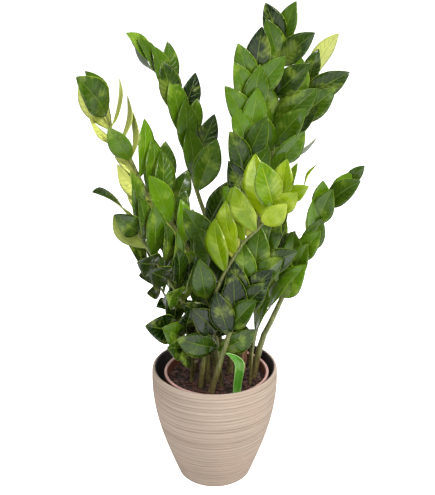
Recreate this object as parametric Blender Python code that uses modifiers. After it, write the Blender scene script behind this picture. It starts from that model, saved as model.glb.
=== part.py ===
"""A potted ZZ plant (Zamioculcas): stoneware cachepot, nursery pot, soil, rhizomes and fronds.

Units are metres, +Z is up and the plant is seen along +Y.
The origin is the centre of the flat underside of the cachepot.
"""
import math

import bmesh
import bpy
from mathutils import Vector
from mathutils.bvhtree import BVHTree

for old in list(bpy.data.objects):
    bpy.data.objects.remove(old, do_unlink=True)

# ---- Driving dimensions -----------------------------------------------------
FIT_GAP = 0.0003

CACHEPOT_HEIGHT = 0.195
CACHEPOT_BASE_RADIUS = 0.058
CACHEPOT_SWELL = 0.044
CACHEPOT_SWEEP = math.radians(100)
CACHEPOT_WALL = 0.0065
CACHEPOT_FLOOR = 0.008
CACHEPOT_FOOT_ROUND = 0.004
CACHEPOT_SIDES = 40
CACHEPOT_COURSES = 8

NURSERY_HEIGHT = 0.152
NURSERY_TOP_RADIUS = 0.081
NURSERY_BASE_RADIUS = 0.0614
NURSERY_WALL = 0.0015
NURSERY_LIP = 0.004
NURSERY_LIP_DEPTH = 0.010
NURSERY_OFFSET = 0.003
NURSERY_SIDES = 32
DRAIN_HOLES = 6
DRAIN_HOLE_RADIUS = 0.0045
DRAIN_CIRCLE_RADIUS = 0.040

SOIL_BELOW_RIM = 0.012
SOIL_CROWN = 0.003
PLANTING_DEPTH = 0.025
RHIZOME_HALF_HEIGHT = 0.018

PLANT_HEIGHT = 0.770
SPREADING_HEIGHT = 0.100
LEAFLET_GROWTH = 1.12
LEAFLET_THICKNESS = 0.0009
LEAFLET_FOLD = 0.22
LEAFLET_ARCH = 0.06
LEAFLET_CLEARANCE = 0.0010
LEAFLET_RINGS = 4
LEAFLET_ROOT = 0.003
LEAFLET_TILT = math.radians(12)
FOOT_SWELL = 0.25
FOOT_SWELL_PERCENT = 12
STALK_SAMPLES = 12
STALK_STEP = 0.026
TUBE_ROUNDNESS = 1
RHIZOME_KNOBS = 0.08
RIBBON_CUP = 0.25

# The fronds below were set out on a plant whose soil and pot had these sizes.
SURVEYED_SOIL = 175
SURVEYED_HEIGHT_ABOVE_SOIL = 0.595
SURVEYED_NURSERY_RADIUS = 0.081

# ---- Fronds -----------------------------------------------------------------
# Each frond: the points that its stalk runs through (mm, from the soil up), the way the
# upper face of the blade looks, stalk radius at foot and tip (mm), where the leaflets
# begin (percent of the stalk), leaflet width over length, and two rows of leaflets.
# A leaflet: (percent of the stalk, spread from the stalk, length in mm, lift of the row and,
# where it has one, its twist). Angles are in degrees.
FRONDS = {
    "left_arching": dict(
        stalk=[(12, 40, 150), (0, 30, 300), (-35, 20, 375), (-65, 20, 430), (-100, 10, 480),
               (-125, 10, 535), (-145, 5, 565), (-160, 0, 610)],
        faces=(0.8, -0.5, 0.35), radii=(5.5, 1.6), bare=34, plump=0.45,
        left=[(40, 20, 72, 20, 50), (48, 12, 76, 15, -150), (56, 6, 78, 15, -150),
              (63, 4, 80, 15, -145), (70, 4, 80, 15, -150), (77, 6, 78, 15, -145),
              (84, 12, 66, 20, 75), (90, 14, 66, 15, 165), (95, 28, 84, 10, -140),
              (100, 34, 100, 5, 20)],
        right=[(44, 30, 78, 20), (52, 22, 66, 20), (60, 6, 84, 20), (66, 46, 84, 10), (72, 44, 82, 15),
               (78, 34, 84, 20), (84, 26, 72, 20, 75), (90, 30, 70, 20, 70), (96, 20, 70, 15, 70),
               (100, -18, 78, 5)]),
    "tall_left": dict(
        stalk=[(-10, 48, 150), (0, 60, 265), (-5, 65, 350), (-10, 70, 410), (-25, 80, 455),
               (-40, 85, 505), (-65, 90, 590), (-80, 90, 630), (-95, 85, 670)],
        faces=(0.2, -0.9, 0.35), radii=(6.0, 1.8), bare=46, plump=0.46,
        left=[(64, -6, 78, 20), (72, -4, 78, 15), (79, -4, 78, 20), (85, -2, 76, 15), (91, 0, 72, 20),
              (96, 14, 70, 20), (100, 16, 68, 30)],
        right=[(49, 41, 80, 15), (60, 38, 86, 15), (68, 31, 86, 10), (75, 28, 84, 20),
               (81, 26, 80, 10), (86, 28, 74, 20), (90, 22, 76, 10), (94, 24, 66, 20),
               (97, 14, 60, 15), (100, -2, 62, 20)]),
    "tall_right": dict(
        stalk=[(40, 32, 150), (50, 55, 285), (75, 80, 415), (90, 90, 515), (90, 95, 595),
               (95, 100, 640), (105, 105, 690)],
        faces=(-0.15, -0.9, 0.35), radii=(6.0, 2.0), bare=50, plump=0.45,
        left=[(55, 32, 76, 20), (62, 36, 78, 20), (70, 30, 78, 20), (78, 24, 68, 50), (86, 34, 70, 50),
              (95, 32, 74, 30), (100, 36, 72, 20)],
        right=[(58, 22, 78, 20), (66, 28, 80, 20, 70), (72, 42, 82, 10), (78, 50, 88, 10),
               (86, 44, 80, 15), (95, 44, 80, 20), (100, 10, 70, 20)]),
    "centre": dict(
        stalk=[(24, 14, 150), (32, 25, 300), (40, 32, 400), (46, 36, 480), (50, 40, 540),
               (52, 44, 610), (60, 46, 650)],
        faces=(0.1, -0.9, 0.35), radii=(5.5, 1.8), bare=52, plump=0.43,
        left=[(56, 35, 75, 20), (63, 30, 75, 20), (71, 30, 80, 20), (79, 25, 75, 20),
              (86, 28, 78, 20), (92, 30, 75, 20), (97, 32, 75, 20), (100, 20, 80, 20)],
        right=[(59, 30, 75, 20), (67, 20, 78, 20), (75, 14, 78, 20), (82, 12, 80, 20),
               (89, 14, 80, 20), (95, 10, 78, 20)]),
    "back_right": dict(
        stalk=[(28, 55, 150), (36, 66, 205), (60, 95, 285), (80, 130, 435), (110, 140, 515),
               (140, 150, 605), (155, 150, 630)],
        faces=(-0.4, -0.7, 0.6), radii=(5.0, 1.8), bare=54, plump=0.45,
        left=[(58, 24, 72, 20), (68, 14, 74, 20), (76, 16, 72, 20), (84, 16, 72, 20), (92, 16, 70, 20),
              (98, 15, 58, 20)],
        right=[(62, 34, 76, 20), (72, 24, 74, 15, 70), (80, 34, 80, 15), (85, 32, 86, 10),
               (94, 36, 82, 10, 30), (100, 16, 80, 5, -75)]),
    "young": dict(
        stalk=[(-24, -30, 150), (-14, -44, 255), (5, -56, 355), (40, -70, 430), (60, -80, 455),
               (90, -90, 495), (110, -95, 515), (130, -100, 530)],
        faces=(-0.8, -0.5, 0.35), radii=(4.5, 1.6), bare=52, plump=0.52,
        left=[(56, 38, 76, 20), (64, 46, 74, 15), (70, 56, 76, 5), (76, 72, 68, 30), (82, 56, 88, 12),
              (86, 60, 72, 40), (90, 42, 60, 20), (94, 34, 46, 15, 30), (99, 20, 38, 10, 50)],
        right=[(62, 50, 60, 110), (72, 60, 62, 115), (81, 60, 52, 115), (88, 58, 48, 110),
               (80, 12, 58, 20, 70), (86, 10, 54, 20, 70), (92, 8, 42, 20, 70)]),
    "right_arching": dict(
        stalk=[(58, 0, 150), (75, -5, 240), (90, -10, 280), (105, -15, 320), (130, -20, 385),
               (150, -25, 430), (160, -30, 470), (180, -35, 495), (195, -40, 515)],
        faces=(-0.5, -0.75, 0.4), radii=(6.0, 1.8), bare=44, plump=0.46,
        left=[(48, 24, 74, 30), (57, 20, 70, 35), (66, 18, 68, 40), (75, 18, 66, 40), (84, 16, 58, 35),
              (92, 10, 50, 20)],
        right=[(46, 22, 80, 30), (54, 14, 74, 30), (63, 12, 74, 30), (72, 14, 74, 30),
               (80, 16, 70, 30, 10), (88, 14, 72, 10, 10), (96, 16, 46, 30, 30), (100, 12, 40, 20, 60)]),
    "front_right": dict(
        stalk=[(-12, -50, 150), (10, -50, 230), (20, -55, 270), (30, -55, 300), (50, -50, 350),
               (70, -45, 385), (85, -40, 420)],
        faces=(-0.3, -0.9, 0.3), radii=(5.5, 1.8), bare=46, plump=0.47,
        left=[(46, 34, 74, 20), (55, 30, 76, 20), (63, 28, 78, 20), (71, 26, 78, 25), (80, 22, 78, 20),
              (92, 10, 76, 20)],
        right=[(50, 26, 72, 30), (59, 26, 72, 30), (67, 24, 70, 30), (75, 22, 70, 30),
               (85, 20, 68, 25), (97, 10, 66, 20)]),
    "front_left": dict(
        stalk=[(-8, -18, 150), (-14, -26, 235), (-30, -38, 285), (-50, -55, 335),
               (-70, -65, 375), (-85, -75, 405), (-105, -85, 445), (-120, -90, 475)],
        faces=(0.5, -0.6, 0.6), radii=(5.0, 1.8), bare=50, plump=0.49,
        left=[(57, 36, 72, 20, 40), (68, 32, 74, 20, 45), (78, 40, 72, 15, 40), (86, 16, 72, 20, -140),
              (94, 26, 62, 15, 40), (100, 42, 92, 5, -25)],
        right=[(54, 30, 78, 25), (60, 26, 74, 25), (66, 28, 76, 25), (72, 28, 76, 20),
               (81, 26, 76, 25), (89, 20, 70, 30), (97, 24, 78, 10)]),
    "inner": dict(
        stalk=[(4, -4, 150), (-5, 0, 275), (0, 3, 325), (-5, 5, 375), (-10, 5, 410)],
        faces=(0.0, -1.0, 0.3), radii=(4.5, 1.8), bare=46, plump=0.47,
        left=[(46, 44, 72, 20), (56, 38, 75, 20), (68, 38, 76, 20), (82, 32, 78, 20), (95, 24, 82, 20)],
        right=[(50, 40, 72, 20), (62, 36, 72, 20), (74, 34, 70, 20), (86, 36, 64, 20),
               (98, 34, 54, 20)]),
    "low_side": dict(
        stalk=[(-34, 6, 150), (-40, 5, 245), (-60, 0, 280), (-70, -5, 300), (-85, -10, 340),
               (-105, -15, 365)],
        faces=(0.3, -0.3, 0.9), radii=(3.5, 1.2), bare=52, plump=0.38,
        left=[(52, 56, 60, 0, 20), (60, 58, 62, 0, 20), (68, 60, 64, 0, -30), (77, 60, 66, 0, 20),
              (86, 60, 68, 0, 20), (94, 50, 72, 10, 20)],
        right=[(56, 34, 62, 15), (64, 34, 66, 15), (72, 30, 68, 15), (80, 26, 70, 15),
               (90, 22, 72, 20), (100, 10, 76, 15)]),
    "low_left": dict(
        stalk=[(-38, -16, 150), (-36, -22, 215), (-40, -28, 240), (-52, -34, 265),
               (-65, -40, 290)],
        faces=(0.3, -0.6, 0.7), radii=(3.5, 1.4), bare=50, plump=0.52,
        left=[(52, 48, 62, 15), (64, 46, 70, 15), (76, 42, 76, 15), (88, 38, 80, 20)],
        right=[(58, 40, 60, 25), (70, 34, 64, 20), (82, 26, 66, 20), (98, 10, 70, 20)]),
    "low_front": dict(
        stalk=[(14, -34, 150), (4, -33, 250), (0, -38, 285), (-5, -42, 315), (-15, -45, 335)],
        faces=(0.0, -0.7, 0.7), radii=(4.0, 1.6), bare=42, plump=0.49,
        left=[(50, 58, 78, 15), (66, 40, 78, 15), (84, 36, 76, 20)],
        right=[(46, 58, 70, 15), (60, 40, 78, 20), (76, 28, 78, 20), (98, 16, 72, 20)]),
    "low_right": dict(
        stalk=[(56, -20, 150), (60, -24, 235), (62, -26, 262), (72, -28, 290), (86, -30, 312)],
        faces=(-0.4, -0.5, 0.8), radii=(3.0, 1.2), bare=56, plump=0.40,
        left=[(64, 50, 64, 20), (88, 30, 66, 20)],
        right=[(72, 18, 78, 10), (98, 14, 72, 10)]),
    "back_left": dict(
        stalk=[(-32, 36, 150), (-48, 70, 265), (-62, 105, 350), (-75, 130, 410),
               (-82, 140, 450)],
        faces=(0.3, -0.8, 0.6), radii=(5.0, 1.6), bare=46, plump=0.45,
        left=[(42, 40, 74, 20), (52, 40, 76, 20), (62, 36, 78, 20), (72, 34, 78, 20), (82, 28, 76, 20),
              (92, 24, 76, 20)],
        right=[(46, 38, 74, 20), (57, 36, 76, 20), (67, 32, 78, 20), (77, 28, 76, 20),
               (87, 24, 74, 20), (100, 10, 76, 20)]),
    "back_middle": dict(
        stalk=[(56, 30, 150), (62, 42, 205), (78, 74, 262), (94, 108, 320), (104, 130, 375)],
        faces=(-0.4, -0.7, 0.6), radii=(4.5, 1.6), bare=46, plump=0.47,
        left=[(50, 40, 74, 20), (60, 38, 76, 20), (70, 36, 78, 20), (80, 30, 76, 20), (90, 24, 74, 20)],
        right=[(55, 38, 76, 20), (65, 36, 76, 20), (75, 32, 78, 20), (86, 26, 74, 20),
               (98, 12, 74, 20)]),
}

# Rhizomes: centre across and deep, half width, half depth (mm).
RHIZOMES = {
    "rhizome_left": (-22, -9, 27, 21),
    "rhizome_front": (14, -48, 31, 15),
    "rhizome_back": (6, 46, 36, 20),
    "rhizome_right": (50, 8, 22, 25),
}

# A cut stub: points (mm) and radius (mm).
STUB = [((-30, 22, 150), 5.0), ((-31, 22, 175), 4.6), ((-31, 21, 192), 4.2)]

# ---- Scene containers and materials -----------------------------------------
parts = bpy.data.collections.new("zz_plant_in_cachepot")
cutters = bpy.data.collections.new("cutters")
bpy.context.scene.collection.children.link(parts)
bpy.context.scene.collection.children.link(cutters)

STONEWARE = ("taupe stoneware", (0.50, 0.40, 0.31), 0.75)
TERRACOTTA = ("brown pot plastic", (0.20, 0.09, 0.06), 0.45)
POTTING_SOIL = ("bark potting soil", (0.030, 0.014, 0.009), 0.95)
RHIZOME_SKIN = ("rhizome skin", (0.30, 0.20, 0.11), 0.80)
STALK_SKIN = ("olive stalk", (0.10, 0.12, 0.03), 0.45)
LEAF_GREEN = ("glossy leaf", (0.05, 0.14, 0.01), 0.28)
YOUNG_GREEN = ("young leaf", (0.30, 0.42, 0.01), 0.28)
DRY_SHEATH = ("dry sheath", (0.36, 0.20, 0.13), 0.75)

# Strap-like growths: points (mm), widths (mm), thickness, the way across, look.
RIBBONS = {
    "strap_leaf": ([(34, -54, 150), (35, -53, 185), (38, -52, 212), (38, -53, 228), (30, -56, 240),
                    (18, -58, 247)],
                   [11, 13, 15, 16, 13, 3], 0.0016, (1, 0.3, 0), LEAF_GREEN),
    "dry_sheath": ([(44, 12, 150), (46, 9, 180), (48, 8, 205), (53, 6, 236)],
                   [6, 9, 8, 2], 0.0010, (1, 0.2, 0), DRY_SHEATH),
}


def finish(piece, look, home=parts):
    """Put a piece in its collection and give it its own material."""
    for owner in list(piece.users_collection):
        owner.objects.unlink(piece)
    home.objects.link(piece)
    name, colour, roughness = look
    material = bpy.data.materials.new(f"{piece.name} {name}")
    material.use_nodes = True
    shader = material.node_tree.nodes["Principled BSDF"]
    shader.inputs["Base Color"].default_value = (*colour, 1.0)
    shader.inputs["Roughness"].default_value = roughness
    shader.inputs["Metallic"].default_value = 0.0
    piece.data.materials.clear()
    piece.data.materials.append(material)
    return piece


def hide_cutter(piece):
    """Keep a cutter out of the model."""
    for owner in list(piece.users_collection):
        owner.objects.unlink(piece)
    cutters.objects.link(piece)
    piece.hide_render = True
    piece.display_type = 'WIRE'
    return piece


def boolean(piece, cutter, operation):
    """Cut or join with the exact solver."""
    step = piece.modifiers.new(f"{operation.lower()} {cutter.name}", 'BOOLEAN')
    step.operation = operation
    step.object = cutter
    step.solver = 'EXACT'
    return step


def mesh_object(name, shape):
    """Make an object from a bmesh and free it."""
    mesh = bpy.data.meshes.new(name)
    shape.to_mesh(mesh)
    shape.free()
    piece = bpy.data.objects.new(name, mesh)
    bpy.context.scene.collection.objects.link(piece)
    return piece


def turned(name, profile, steps, centre):
    """Turn a profile of (radius, height), from the axis over the rim to the axis, about Z."""
    shape = bmesh.new()
    points = [shape.verts.new((radius, 0.0, height)) for radius, height in profile]
    for first, second in zip(points, points[1:]):
        shape.edges.new((first, second))
    piece = mesh_object(name, shape)
    piece.location = centre
    screw = piece.modifiers.new("turn", 'SCREW')
    screw.steps = steps
    screw.render_steps = steps
    screw.use_merge_vertices = True
    screw.merge_threshold = 0.00001
    return piece


# ---- Cachepot ---------------------------------------------------------------
def cachepot_radius(height):
    """Outer radius of the cachepot: a swelling wall that leans in a little at the rim."""
    return CACHEPOT_BASE_RADIUS + CACHEPOT_SWELL * math.sin(CACHEPOT_SWEEP * height / CACHEPOT_HEIGHT)


def height_inside(radius):
    """Height at which the inside of the cachepot first has this radius; its rim if nowhere."""
    swell = (radius + CACHEPOT_WALL - CACHEPOT_BASE_RADIUS) / CACHEPOT_SWELL
    if swell > math.sin(CACHEPOT_SWEEP):
        return CACHEPOT_HEIGHT
    return CACHEPOT_HEIGHT * math.asin(max(swell, 0.0)) / CACHEPOT_SWEEP


def build_cachepot():
    rim_round = CACHEPOT_WALL / 4
    rim_radius = cachepot_radius(CACHEPOT_HEIGHT)
    wall_heights = [CACHEPOT_HEIGHT * share / CACHEPOT_COURSES for share in range(1, CACHEPOT_COURSES)]
    inside = [(0.0, CACHEPOT_FLOOR), (cachepot_radius(CACHEPOT_FLOOR) - CACHEPOT_WALL, CACHEPOT_FLOOR)]
    inside += [(cachepot_radius(height) - CACHEPOT_WALL, height)
               for height in wall_heights if height > CACHEPOT_FLOOR * 1.5]
    inside += [(rim_radius - CACHEPOT_WALL, CACHEPOT_HEIGHT - rim_round),
               (rim_radius - CACHEPOT_WALL + rim_round, CACHEPOT_HEIGHT)]
    outside = [(rim_radius - rim_round, CACHEPOT_HEIGHT), (rim_radius, CACHEPOT_HEIGHT - rim_round)]
    outside += [(cachepot_radius(height), height) for height in reversed(wall_heights)]
    outside += [(cachepot_radius(CACHEPOT_FOOT_ROUND), CACHEPOT_FOOT_ROUND),
                (CACHEPOT_BASE_RADIUS - CACHEPOT_FOOT_ROUND, 0.0), (0.0, 0.0)]
    pot = finish(turned("cachepot", inside + outside, CACHEPOT_SIDES, (0, 0, 0)), STONEWARE)
    pot.data.shade_smooth()
    return pot


# ---- Nursery pot ------------------------------------------------------------
# It hangs in the taper of the cachepot, pushed a little to one side.
NURSERY_FOOT = max(
    CACHEPOT_FLOOR + FIT_GAP,
    height_inside(NURSERY_BASE_RADIUS + NURSERY_OFFSET + FIT_GAP),
    height_inside(NURSERY_TOP_RADIUS + NURSERY_LIP + NURSERY_OFFSET + FIT_GAP)
    + FIT_GAP + NURSERY_LIP_DEPTH - NURSERY_HEIGHT)
NURSERY_RIM = NURSERY_FOOT + NURSERY_HEIGHT
SOIL_LEVEL = NURSERY_RIM - SOIL_BELOW_RIM


def nursery_radius(height):
    """Outer radius of the plain cone of the nursery pot at this height."""
    share = (height - NURSERY_FOOT) / NURSERY_HEIGHT
    return NURSERY_BASE_RADIUS + (NURSERY_TOP_RADIUS - NURSERY_BASE_RADIUS) * share


def build_nursery_pot():
    lip_bottom = NURSERY_RIM - NURSERY_LIP_DEPTH
    lip_radius = NURSERY_TOP_RADIUS + NURSERY_LIP
    floor_top = NURSERY_FOOT + NURSERY_WALL
    profile = [
        (0.0, floor_top),
        (nursery_radius(floor_top) - NURSERY_WALL, floor_top),
        (nursery_radius(lip_bottom) - NURSERY_WALL, lip_bottom),
        (NURSERY_TOP_RADIUS - NURSERY_WALL + NURSERY_LIP / 2, NURSERY_RIM),
        (lip_radius - NURSERY_WALL / 2, NURSERY_RIM),
        (lip_radius, NURSERY_RIM - NURSERY_WALL / 2),
        (lip_radius, lip_bottom),
        (nursery_radius(lip_bottom), lip_bottom - NURSERY_WALL),
        (NURSERY_BASE_RADIUS, NURSERY_FOOT),
        (0.0, NURSERY_FOOT),
    ]
    pot = finish(turned("nursery_pot", profile, NURSERY_SIDES, (NURSERY_OFFSET, 0, 0)), TERRACOTTA)
    for hole in range(DRAIN_HOLES):
        turn = 2 * math.pi * hole / DRAIN_HOLES
        bpy.ops.mesh.primitive_cylinder_add(
            vertices=12, radius=DRAIN_HOLE_RADIUS, depth=NURSERY_WALL * 4,
            location=(NURSERY_OFFSET + DRAIN_CIRCLE_RADIUS * math.cos(turn),
                      DRAIN_CIRCLE_RADIUS * math.sin(turn), NURSERY_FOOT + NURSERY_WALL / 2))
        drill = bpy.context.object
        drill.name = f"drain_drill_{hole + 1}"
        boolean(pot, hide_cutter(drill), 'DIFFERENCE')
    pot.data.shade_smooth()
    return pot


# ---- Stalks -----------------------------------------------------------------
PLANT_SIZE = (PLANT_HEIGHT - SOIL_LEVEL) / SURVEYED_HEIGHT_ABOVE_SOIL
FOOT_SIZE = NURSERY_TOP_RADIUS / SURVEYED_NURSERY_RADIUS


def placed(point):
    """A surveyed point (mm) in the plant: feet keep to the pot, the rest grows with the plant."""
    above_soil = (point[2] - SURVEYED_SOIL) / 1000
    freedom = min(max(above_soil / SPREADING_HEIGHT, 0.0), 1.0)
    reach = FOOT_SIZE + (PLANT_SIZE - FOOT_SIZE) * freedom
    rise = above_soil * PLANT_SIZE if above_soil > 0 else above_soil
    return Vector((point[0] / 1000 * reach, point[1] / 1000 * reach, SOIL_LEVEL + rise))


class Stalk:
    """A smooth line through a frond's points, read by its length."""

    def __init__(self, frond):
        points = [placed(point) for point in frond["stalk"]]
        points = [points[0] * 2 - points[1]] + points + [points[-1] * 2 - points[-2]]
        smooth = []
        for before, start, end, after in zip(points, points[1:], points[2:], points[3:]):
            for step in range(STALK_SAMPLES):
                t = step / STALK_SAMPLES
                smooth.append((start * 2 + (end - before) * t
                               + (before * 2 - start * 5 + end * 4 - after) * t ** 2
                               + (start * 3 - before - end * 3 + after) * t ** 3) / 2)
        self.measure(smooth + [points[-2]])
        steps = round(self.length / STALK_STEP)
        self.measure([self.at(100 * step / steps)[0] for step in range(steps + 1)])
        self.foot_radius, self.tip_radius = (radius / 1000 for radius in frond["radii"])

    def measure(self, line):
        """Take a line of points and note how far along it each one is."""
        self.line = line
        self.far = [0.0]
        for start, end in zip(line, line[1:]):
            self.far.append(self.far[-1] + (end - start).length)
        self.length = self.far[-1]

    def at(self, percent):
        """Point and direction at a percentage of the stalk."""
        far = self.length * percent / 100
        index = max(place for place in range(len(self.line) - 1) if self.far[place] <= far + 1e-9)
        along = (self.line[index + 1] - self.line[index]).normalized()
        return self.line[index] + along * (far - self.far[index]), along

    def radius(self, percent):
        """The stalk tapers steadily, from a swollen foot."""
        foot = FOOT_SWELL * max(0.0, 1 - percent / FOOT_SWELL_PERCENT)
        return (self.foot_radius + (self.tip_radius - self.foot_radius) * percent / 100) * (1 + foot)

    def joint(self, percent):
        """The middle of the straight stretch nearest to a percentage, where a joint is square."""
        knots = [100 * far / self.length for far in self.far]
        return min(((low + high) / 2 for low, high in zip(knots, knots[1:])),
                   key=lambda middle: abs(middle - percent))

    def run(self, first, last):
        """The points and radii from one percentage to another."""
        knots = [100 * far / self.length for far in self.far]
        percents = [first] + [knot for knot in knots if first < knot < last] + [last]
        return [(self.at(percent)[0], self.radius(percent)) for percent in percents]


def tube(name, path, grow=0.0):
    """A round tapering body along a path, as a closed mesh."""
    curve = bpy.data.curves.new(name, 'CURVE')
    curve.dimensions = '3D'
    curve.bevel_depth = 1.0
    curve.bevel_resolution = TUBE_ROUNDNESS
    curve.use_fill_caps = True
    spline = curve.splines.new('POLY')
    spline.points.add(len(path) - 1)
    for control, (point, radius) in zip(spline.points, path):
        control.co = (*point, 1.0)
        control.radius = radius + grow
    guide = bpy.data.objects.new(name, curve)
    bpy.context.scene.collection.objects.link(guide)
    bpy.context.view_layer.update()
    mesh = bpy.data.meshes.new_from_object(guide.evaluated_get(bpy.context.evaluated_depsgraph_get()))
    bpy.data.objects.remove(guide, do_unlink=True)
    shape = bmesh.new()
    shape.from_mesh(mesh)
    bmesh.ops.remove_doubles(shape, verts=shape.verts, dist=0.00001)
    bmesh.ops.recalc_face_normals(shape, faces=shape.faces)
    return mesh_object(name, shape)


# ---- Leaflets ---------------------------------------------------------------
def leaflet_place(stalk, frond, side, row):
    """Foot, direction and upper side of a leaflet; side is -1 left, 1 right."""
    percent, spread, length, lift, *twist = row
    spread, lift, twist = math.radians(spread), math.radians(lift), math.radians(sum(twist))
    foot, along = stalk.at(percent)
    faces = Vector(frond["faces"])
    faces = (faces - along * faces.dot(along)).normalized()
    across = along.cross(faces) * side
    outward = across * math.cos(lift) + faces * math.sin(lift)
    reach = along * math.cos(spread) + outward * math.sin(spread)
    upper = faces * math.cos(lift) - across * math.sin(lift)
    upper = upper * math.cos(twist) + reach.cross(upper) * math.sin(twist) * side
    reach, upper = (reach * math.cos(LEAFLET_TILT) + upper * math.sin(LEAFLET_TILT),
                    upper * math.cos(LEAFLET_TILT) - reach * math.sin(LEAFLET_TILT))
    return foot - reach * LEAFLET_ROOT, reach, upper, length / 1000 * LEAFLET_GROWTH * PLANT_SIZE


def leaflet_shape(place, plump, roll=0.0, swell=0.0):
    """A pointed, slightly folded lens from a four-sided sphere with one pole at each end."""
    foot, reach, upper, length = place
    upper = (upper * math.cos(roll) + reach.cross(upper) * math.sin(roll)).normalized()
    across = reach.cross(upper)
    shape = bmesh.new()
    bmesh.ops.create_uvsphere(shape, u_segments=4, v_segments=LEAFLET_RINGS, radius=1.0)
    half_width = plump * length / 2 + swell
    half_thick = LEAFLET_THICKNESS / 2 + swell
    for vert in shape.verts:
        share = (1 + vert.co.z) / 2
        ring = math.hypot(vert.co.x, vert.co.y)
        outline = math.sin(math.pi * share ** 1.1) ** 0.85 if 0.0 < share < 1.0 else 0.0
        sideways, thick = (vert.co.x / ring, vert.co.y / ring) if ring > 1e-6 else (0.0, 0.0)
        width = sideways * half_width * outline
        height = thick * half_thick * max(outline, 0.35 if ring > 1e-6 else 0.0)
        height += LEAFLET_FOLD * abs(width) + LEAFLET_ARCH * length * 4 * share * (1 - share)
        vert.co = foot + reach * length * share + across * width + upper * height
    bmesh.ops.recalc_face_normals(shape, faces=shape.faces)
    return shape


def box_of(shape):
    xyz = [[vert.co[axis] for vert in shape.verts] for axis in range(3)]
    return [(min(values), max(values)) for values in xyz]


def boxes_meet(one, other):
    return all(a[0] <= b[1] and b[0] <= a[1] for a, b in zip(one, other))


class Crowd:
    """What already stands in the plant, for leaflets that look for room."""

    def __init__(self):
        self.members = []

    def add(self, shape, owner):
        self.members.append((owner, box_of(shape), BVHTree.FromBMesh(shape)))

    def meets(self, shape, owners):
        """How many bodies the shape runs into, of those whose owner is asked for."""
        box = box_of(shape)
        tree = BVHTree.FromBMesh(shape)
        return sum(1 for owner, other_box, other in self.members
                   if owners(owner) and boxes_meet(box, other_box) and tree.overlap(other))


# A leaflet that would touch a neighbour leans a little: (more spread, more lift, roll, size).
LEANS = sorted(((spread, lift, roll, size)
                for size in (1.0, 0.92, 0.82, 0.70) for roll in (0, 25, -25)
                for spread in (0, -8, 8, -16, 16) for lift in (0, 12, -12, 24, -24, 40, -40)),
               key=lambda lean: abs(lean[0]) + abs(lean[1]) + abs(lean[2]) * 0.6 + (1 - lean[3]) * 150)


def settled(crowd, owner, stalk, frond, side, row):
    """The leaflet's shape at the first lean that clears every other frond, or None."""
    sisters = {owner}
    own_blade = {owner, f"{owner} rachis"}
    best = None
    for spread, lift, roll, size in LEANS:
        leant = (row[0], row[1] + spread, row[2] * size, row[3] + lift, *row[4:])
        place = leaflet_place(stalk, frond, side, leant)
        guard = leaflet_shape(place, frond["plump"], math.radians(roll), LEAFLET_CLEARANCE)
        blocked = crowd.meets(guard, lambda who: who not in own_blade)
        guard.free()
        if blocked:
            continue
        shape = leaflet_shape(place, frond["plump"], math.radians(roll))
        touching = crowd.meets(shape, lambda who: who in sisters)
        if best is None or touching < best[0]:
            if best:
                best[1].free()
            best = (touching, shape)
        else:
            shape.free()
        if touching == 0:
            break
    return best[1] if best else None


def build_stalk(name, frond, crowd, moulds):
    """The bare petiole and, past a fine joint, the rachis that carries the leaflets."""
    stalk = Stalk(frond)
    joint = stalk.joint(frond["bare"])
    half_gap = 100 * FIT_GAP / 2 / stalk.length
    path = stalk.run(0, joint - half_gap)
    petiole = finish(tube(f"{name}_petiole", path), STALK_SKIN)
    for mould in moulds:
        boolean(petiole, mould, 'DIFFERENCE')
    look = YOUNG_GREEN if name == "young" else LEAF_GREEN
    rachis = finish(tube(f"{name}_blade", stalk.run(joint + half_gap, 100)), look)
    for piece, owner in ((petiole, f"{name} petiole"), (rachis, f"{name} rachis")):
        piece.data.shade_smooth()
        shape = bmesh.new()
        shape.from_mesh(piece.data)
        crowd.add(shape, owner)
        shape.free()
    below = [(path[0][0] - Vector((0, 0, FIT_GAP)), path[0][1])] + path[1:]
    return stalk, rachis, hide_cutter(tube(f"{name}_socket", below, FIT_GAP))


def build_fronds(moulds):
    """All stalks first, then every leaflet finds its room among them; returns the sockets."""
    crowd = Crowd()
    built = {name: build_stalk(name, frond, crowd, moulds) for name, frond in FRONDS.items()}
    for name, frond in FRONDS.items():
        stalk, rachis, _ = built[name]
        count = 0
        for side, rows in ((-1, frond["left"]), (1, frond["right"])):
            for row in rows:
                shape = settled(crowd, name, stalk, frond, side, row)
                if shape is None:
                    continue
                crowd.add(shape, name)
                count += 1
                leaflet = hide_cutter(mesh_object(f"{name}_leaflet_{count}", shape))
                boolean(rachis, leaflet, 'UNION')
    return [socket for _, _, socket in built.values()]


# ---- Soil, rhizomes and what grows beside the fronds ------------------------
def build_rhizomes():
    """Potato-like stems below the soil; each also gets a slightly larger cutter."""
    rhizomes, moulds = [], []
    for name, (across, deep, half_width, half_depth) in RHIZOMES.items():
        for grow, made in ((0.0, rhizomes), (2 * FIT_GAP, moulds)):
            bpy.ops.mesh.primitive_uv_sphere_add(segments=12, ring_count=6, radius=1.0)
            lump = bpy.context.object
            lump.name = name if made is rhizomes else f"{name}_mould"
            size = Vector((half_width / 1000 * FOOT_SIZE, half_depth / 1000 * FOOT_SIZE,
                           RHIZOME_HALF_HEIGHT))
            centre = Vector((across / 1000 * FOOT_SIZE, deep / 1000 * FOOT_SIZE,
                             SOIL_LEVEL - PLANTING_DEPTH))
            for vert in lump.data.vertices:
                knob = 1 + RHIZOME_KNOBS * math.sin(3 * vert.co.x + 2 * vert.co.y) * (1 - vert.co.z ** 2)
                vert.co = centre + Vector(vert.co[axis] * (size[axis] * knob + grow) for axis in range(3))
            made.append(lump)
    for lump in rhizomes:
        finish(lump, RHIZOME_SKIN).data.shade_smooth()
    return [hide_cutter(mould) for mould in moulds]


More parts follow.
